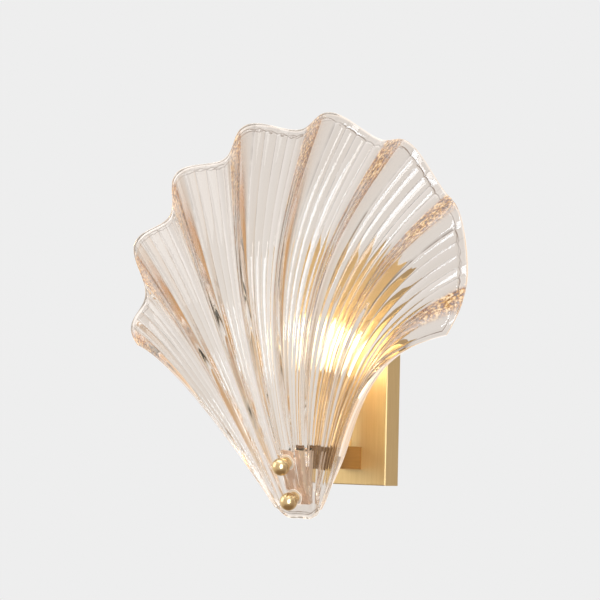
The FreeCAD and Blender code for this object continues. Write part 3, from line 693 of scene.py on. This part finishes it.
def cutForClamp(piece):
    pocketEnd = -clamp["pocketDepth"]
    cutters = [makeCutter(clamp["pocket"], pocketEnd - clamp["behind"], pocketEnd)]
    for height in clamp["studHeights"]:
        cutters.append(makeCutter(clamp["hole"], -clamp["through"], clamp["inFront"], height))
        cutters.append(makeCutter(clamp["seat"], -clamp["seatDepth"], clamp["inFront"], height))
    cutGlass(piece, cutters)


def makeShell():
    bm = bmesh.new()
    for name in (*shellMasks, "arch"):
        bm.verts.layers.float.new(name)
    counts = {"x_segments": len(columnTurns) - 1, "y_segments": len(rowShares) - 1, "size": 0.5}
    bmesh.ops.create_grid(bm, **counts)
    front = list(bm.verts)
    made = bmesh.ops.create_grid(bm, **counts)
    placeSheet(bm, front, False)
    placeSheet(bm, made["verts"], True)
    rims = [edge for edge in bm.edges if edge.is_boundary]
    bmesh.ops.bridge_loops(bm, edges=rims)
    bmesh.ops.recalc_face_normals(bm, faces=bm.faces)
    return finishPiece(bm, "shellGlass", "root", shellGlass)


glassShell = makeShell()
cutForClamp(glassShell)
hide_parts("glass_shade")
print("shell made with", len(glassShell.data.polygons), "faces")

finishes = {
    # the CAD nodes that each metal or plastic is for
    "satinBrassUp": ("canopy_cover",),
    "shadedSatinBrassAlong": ("arm_tube", "arm_end_block"),
    "satinBrassRound": ("socket_sleeve", "cover_screws"),
    "bracketBrass": ("shade_bracket",),
    "ballBrass": ("upper_ball_nut", "lower_ball_nut"),
    "zincSteel": ("shade_studs", "arm_nipple", "arm_nut", "earth_tag", "wall_bracket", "terminal_screws",
                  "socket_nipple", "nipple_nut"),
    "capNickel": ("bulb_cap", "bulb_contact"),
    "capBrass": ("holder_shell", "holder_contact", "earth_screw"),
    "whiteThermoset": ("terminal_block", "lamp_holder"),
    "clearNylon": ("shade_bushes",),
    "paleRubber": ("bracket_gasket",),
    "blackVitrite": ("bulb_insulator",),
    "brownSleeve": ("live_lead",),
    "blueSleeve": ("neutral_lead",),
    "greenSleeve": ("earth_lead",),
}
for finish, names in finishes.items():
    for name in names:
        paintNode(name, {**metalSet, **plasticSet}[finish])
paintNode("bulb_glass", bulbGlass)
paintNode("bulb_stem", bulbGlass)
paintNode("bulb_filaments", filamentGlow)
print("finishes set")

studio = {
    "backdrop": 0.855, "fill": 0.55,
    "floorRadius": 1.2, "floorHeight": -0.9, "floorSegments": 96, "floorRoughness": 0.8,
    "floorDark": (0.84, 0.84, 0.84), "floorLight": (0.86, 0.86, 0.86),
    "bulbWatts": 0.36, "bulbColour": (1.0, 0.87, 0.64), "bulbAt": (0, -0.0444, 0.022), "bulbSize": 0.008,
}


def makeFloor():
    bm = bmesh.new()
    counts = {"cap_ends": True, "segments": studio["floorSegments"]}
    bmesh.ops.create_circle(bm, radius=studio["floorRadius"], **counts)
    bmesh.ops.translate(bm, verts=bm.verts, vec=(0, 0, studio["floorHeight"]))
    floor = addObject("floor", meshFrom(bm, "floor"))
    material, tree, shader = newMaterial("floorPale")
    speck = placeGroup(tree, speckGroup)
    tree.links.new(mixColour(tree, speck.outputs["Mottle"], studio["floorDark"], studio["floorLight"]),
                   shader.inputs["Base Color"])
    shader.inputs["Roughness"].default_value = studio["floorRoughness"]
    floor.data.materials.append(material)
    floor.visible_glossy = False  # the metal mirrors the dim room below instead


room = {
    # what rays see after the glass or the metal: colours by bearing in degrees, 0 to the wall and 90 right
    "throughGlass": ((-180, (0.86, 0.83, 0.79)), (-150, (0.80, 0.68, 0.54)), (-112, (0.66, 0.38, 0.16)),
                     (-78, (0.66, 0.43, 0.24)), (-62, (0.72, 0.62, 0.52)), (-48, (0.83, 0.81, 0.79)),
                     (-30, (0.87, 0.87, 0.87)), (-14, (1.0, 1.0, 1.03)), (4, (0.92, 0.92, 0.93)),
                     (22, (0.44, 0.38, 0.33)), (50, (0.16, 0.11, 0.08)), (105, (0.16, 0.11, 0.08)),
                     (140, (0.66, 0.60, 0.54)), (180, (0.86, 0.83, 0.79))),
    "inMetal": ((-180, (0.72, 0.66, 0.60)), (-150, (0.74, 0.66, 0.58)), (-110, (0.84, 0.76, 0.66)),
                (-60, (0.90, 0.86, 0.82)), (0, (0.80, 0.78, 0.76)), (40, (0.58, 0.50, 0.46)),
                (90, (0.46, 0.38, 0.33)), (140, (0.66, 0.62, 0.58)), (180, (0.72, 0.66, 0.60))),
    # colours overhead and underfoot, each reached between two heights of the ray's direction
    "above": {"throughGlass": (1.05, 1.06, 1.08), "inMetal": (1.02, 1.0, 0.98)},
    "below": {"throughGlass": (0.78, 0.68, 0.58), "inMetal": (0.30, 0.22, 0.15)},
    "aboveHeights": (0.3, 0.8), "belowHeights": (-0.35, -0.8),
}


def background(tree, colour, strength=1.0):
    node = tree.nodes.new("ShaderNodeBackground")
    node.inputs["Strength"].default_value = strength
    feed(tree, node.inputs["Color"], colour)
    return node.outputs[0]


def makeWorld():
    world = bpy.data.worlds.new("studio")
    bpy.context.scene.world = world
    world.use_nodes = True
    tree = world.node_tree
    tree.nodes.clear()
    coords = tree.nodes.new("ShaderNodeTexCoord")
    split = tree.nodes.new("ShaderNodeSeparateXYZ")
    tree.links.new(coords.outputs["Generated"], split.inputs["Vector"])
    bearing = mathNode(tree, "ARCTAN2", split.outputs["X"], split.outputs["Y"])
    bearing = mapRange(tree, bearing, 0, 1, -math.pi, math.pi)
    high = mapRange(tree, split.outputs["Z"], 0, 1, *room["aboveHeights"])
    low = mapRange(tree, split.outputs["Z"], 0, 1, *room["belowHeights"])
    shaders = []
    for name in ("throughGlass", "inMetal"):
        rows = [((degrees + 180) / 360, colour) for degrees, colour in room[name]]
        colour = mixColour(tree, high, colourRamp(tree, bearing, rows), room["above"][name])
        shaders.append(background(tree, mixColour(tree, low, colour, room["below"][name])))
    path = tree.nodes.new("ShaderNodeLightPath")
    backdrop = background(tree, (studio["backdrop"],) * 3)
    result = background(tree, (1, 1, 1), studio["fill"])
    result = mixShaders(tree, path.outputs["Is Glossy Ray"], result, shaders[1])
    result = mixShaders(tree, path.outputs["Is Transmission Ray"], result, shaders[0])
    result = mixShaders(tree, path.outputs["Is Camera Ray"], result, backdrop)
    output = tree.nodes.new("ShaderNodeOutputWorld")
    tree.links.new(result, output.inputs["Surface"])


def aimAt(place, target):
    # where a lamp or a camera stands, turned to look at its target
    aim = Vector(target) - Vector(place)
    return Matrix.Translation(place) @ aim.to_track_quat("-Z", "Y").to_matrix().to_4x4()


softboxes = {
    # place, point it faces, width and height in metres, watts, colour
    "windowFront": ((0.90, -1.30, 0.03), (0, -0.10, 0.05), (0.42, 1.20), 15.0, (0.80, 0.90, 1.0)),
    "keyRight": ((0.98, -0.92, 0.12), (0, -0.10, 0.05), (0.16, 1.10), 3.5, (1.0, 1.0, 1.0)),
    "topSoft": ((-0.10, -0.35, 1.15), (0, -0.08, 0.02), (1.20, 0.90), 7.0, (1.0, 1.0, 1.0)),
    "fillLeft": ((-1.10, -0.75, 0.30), (0, -0.08, 0.02), (0.90, 0.90), 4.0, (1.0, 1.0, 1.0)),
}


def makeSoftbox(name):
    place, target, size, watts, colour = softboxes[name]
    lamp = bpy.data.lights.new(name, "AREA")
    lamp.shape = "RECTANGLE"
    lamp.size, lamp.size_y = size
    lamp.energy = watts
    lamp.color = colour
    holder = addObject(name, lamp)
    holder.visible_transmission = False  # seen as a highlight on the glass, not through it
    holder.visible_diffuse = name != "windowFront"  # this one gives only highlights
    holder.matrix_world = aimAt(place, target)


def makeBulbLight():
    lamp = bpy.data.lights.new("bulbLight", "POINT")
    lamp.energy = studio["bulbWatts"]
    lamp.color = studio["bulbColour"]
    lamp.shadow_soft_size = studio["bulbSize"]
    holder = addObject("bulbLight", lamp)
    holder.location = studio["bulbAt"]
    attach(holder, "bulb")


view = {
    "target": (-0.0036, -0.0864, 0.0418), "place": (0.5540, -0.8827, -0.0746),
    "roll": 0.0291, "lens": 82.25, "sensor": 36.0,
}


def makeCamera():
    lens = bpy.data.cameras.new("camera")
    lens.lens = view["lens"]
    lens.sensor_width = view["sensor"]
    camera = addObject("camera", lens)
    camera.matrix_world = aimAt(view["place"], view["target"]) @ Matrix.Rotation(view["roll"], 4, "Z")
    bpy.context.scene.camera = camera


makeFloor()
makeWorld()
for name in softboxes:
    makeSoftbox(name)
makeBulbLight()
makeCamera()
bpy.context.scene.view_settings.view_transform = "Standard"
print("studio ready")
